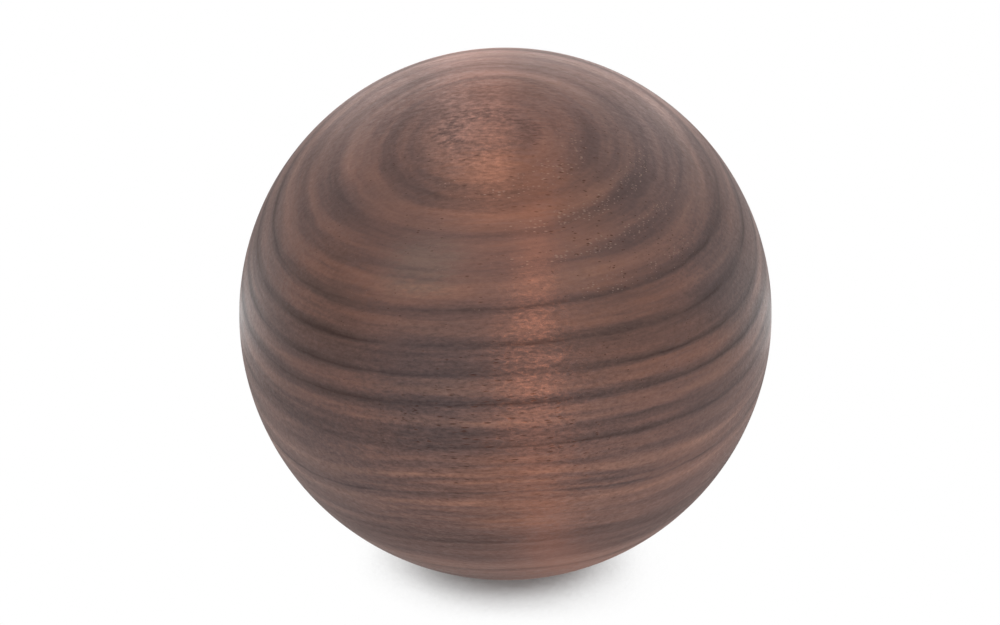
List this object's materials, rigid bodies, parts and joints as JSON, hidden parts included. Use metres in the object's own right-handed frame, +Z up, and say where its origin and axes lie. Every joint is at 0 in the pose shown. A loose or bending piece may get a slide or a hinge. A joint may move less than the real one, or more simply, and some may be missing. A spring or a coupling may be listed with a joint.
{
  "type": "wooden ball",
  "caption": "Solid walnut ball, turned round and sanded smooth, held in the hand, rolled under foot or set in a dish.",
  "frame": {"origin": "centre of the ball", "axes": "+Z up as the ball lies in the picture, -Y towards the viewer, +X to the viewer's right and nearly along the grain"},
  "size_m": [0.07, 0.07, 0.07],
  "materials": {
    "walnut": "sanded and oiled, satin, open pores"
  },
  "bodies": {
    "root": {"ball": "walnut"}
  },
  "joints": []
}
